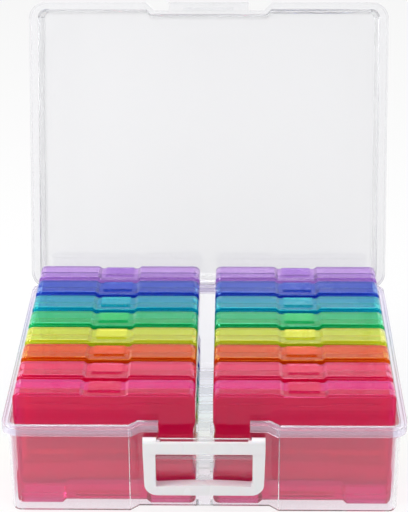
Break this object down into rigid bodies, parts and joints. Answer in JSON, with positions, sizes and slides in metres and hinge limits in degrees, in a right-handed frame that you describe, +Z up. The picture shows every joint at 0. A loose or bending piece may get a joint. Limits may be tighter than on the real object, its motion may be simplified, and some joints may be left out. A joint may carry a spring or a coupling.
{
  "type": "photo keeper case",
  "caption": "Clear flanged carrying case with a hinged lid and a swinging front handle, holding two columns of thin upright tinted photo cases.",
  "frame": {"origin": "middle of the flat underside of the tub, on the surface it stands on", "axes": "+X to the right seen from the handle side, +Y from the handle side to the lid hinge, +Z up; the lid is open at rest"},
  "size_m": [0.381, 0.4335, 0.3794],
  "materials": {
    "clear_base": "clear, smooth moulded",
    "clear_lid": "clear, smooth moulded, faintly milky",
    "white_handle": "opaque white, smooth moulded",
    "tinted_pink": "clear tinted, smooth moulded",
    "tinted_rose": "clear tinted, smooth moulded",
    "tinted_orange": "clear tinted, smooth moulded",
    "tinted_lime": "clear tinted, smooth moulded",
    "tinted_green": "clear tinted, smooth moulded",
    "tinted_teal": "clear tinted, smooth moulded",
    "tinted_blue": "clear tinted, smooth moulded",
    "tinted_violet": "clear tinted, smooth moulded"
  },
  "bodies": {
    "base": {"case_base": "clear_base"},
    "lid": {"case_lid": "clear_lid"},
    "handle": {"carry_handle": "white_handle"},
    "pink_left_case": {"pink_left_tray": "tinted_pink", "pink_left_cover": "tinted_pink"},
    "pink_right_case": {"pink_right_tray": "tinted_pink", "pink_right_cover": "tinted_pink"},
    "rose_left_case": {"rose_left_tray": "tinted_rose", "rose_left_cover": "tinted_rose"},
    "rose_right_case": {"rose_right_tray": "tinted_rose", "rose_right_cover": "tinted_rose"},
    "orange_left_case": {"orange_left_tray": "tinted_orange", "orange_left_cover": "tinted_orange"},
    "orange_right_case": {"orange_right_tray": "tinted_orange", "orange_right_cover": "tinted_orange"},
    "lime_left_case": {"lime_left_tray": "tinted_lime", "lime_left_cover": "tinted_lime"},
    "lime_right_case": {"lime_right_tray": "tinted_lime", "lime_right_cover": "tinted_lime"},
    "green_left_case": {"green_left_tray": "tinted_green", "green_left_cover": "tinted_green"},
    "green_right_case": {"green_right_tray": "tinted_green", "green_right_cover": "tinted_green"},
    "teal_left_case": {"teal_left_tray": "tinted_teal", "teal_left_cover": "tinted_teal"},
    "teal_right_case": {"teal_right_tray": "tinted_teal", "teal_right_cover": "tinted_teal"},
    "blue_left_case": {"blue_left_tray": "tinted_blue", "blue_left_cover": "tinted_blue"},
    "blue_right_case": {"blue_right_tray": "tinted_blue", "blue_right_cover": "tinted_blue"},
    "violet_left_case": {"violet_left_tray": "tinted_violet", "violet_left_cover": "tinted_violet"},
    "violet_right_case": {"violet_right_tray": "tinted_violet", "violet_right_cover": "tinted_violet"}
  },
  "joints": [
    {"name": "lid_hinge", "type": "hinge", "parent": "base", "child": "lid", "pos_m": [0, 0.1519, 0.0886], "axis": [-1, 0, 0], "range_deg": [-108, 0]},
    {"name": "handle_swing", "type": "hinge", "parent": "base", "child": "handle", "pos_m": [0, -0.1474, 0.0776], "axis": [-1, 0, 0], "range_deg": [0, 90]},
    {"name": "pink_left_lift", "type": "slide", "parent": "base", "child": "pink_left_case", "axis": [0, 0, 1], "range_m": [0, 0.125]},
    {"name": "pink_right_lift", "type": "slide", "parent": "base", "child": "pink_right_case", "axis": [0, 0, 1], "range_m": [0, 0.125]},
    {"name": "rose_left_lift", "type": "slide", "parent": "base", "child": "rose_left_case", "axis": [0, 0, 1], "range_m": [0, 0.125]},
    {"name": "rose_right_lift", "type": "slide", "parent": "base", "child": "rose_right_case", "axis": [0, 0, 1], "range_m": [0, 0.125]},
    {"name": "orange_left_lift", "type": "slide", "parent": "base", "child": "orange_left_case", "axis": [0, 0, 1], "range_m": [0, 0.125]},
    {"name": "orange_right_lift", "type": "slide", "parent": "base", "child": "orange_right_case", "axis": [0, 0, 1], "range_m": [0, 0.125]},
    {"name": "lime_left_lift", "type": "slide", "parent": "base", "child": "lime_left_case", "axis": [0, 0, 1], "range_m": [0, 0.125]},
    {"name": "lime_right_lift", "type": "slide", "parent": "base", "child": "lime_right_case", "axis": [0, 0, 1], "range_m": [0, 0.125]},
    {"name": "green_left_lift", "type": "slide", "parent": "base", "child": "green_left_case", "axis": [0, 0, 1], "range_m": [0, 0.125]},
    {"name": "green_right_lift", "type": "slide", "parent": "base", "child": "green_right_case", "axis": [0, 0, 1], "range_m": [0, 0.125]},
    {"name": "teal_left_lift", "type": "slide", "parent": "base", "child": "teal_left_case", "axis": [0, 0, 1], "range_m": [0, 0.125]},
    {"name": "teal_right_lift", "type": "slide", "parent": "base", "child": "teal_right_case", "axis": [0, 0, 1], "range_m": [0, 0.125]},
    {"name": "blue_left_lift", "type": "slide", "parent": "base", "child": "blue_left_case", "axis": [0, 0, 1], "range_m": [0, 0.125]},
    {"name": "blue_right_lift", "type": "slide", "parent": "base", "child": "blue_right_case", "axis": [0, 0, 1], "range_m": [0, 0.125]},
    {"name": "violet_left_lift", "type": "slide", "parent": "base", "child": "violet_left_case", "axis": [0, 0, 1], "range_m": [0, 0.125]},
    {"name": "violet_right_lift", "type": "slide", "parent": "base", "child": "violet_right_case", "axis": [0, 0, 1], "range_m": [0, 0.125]}
  ]
}
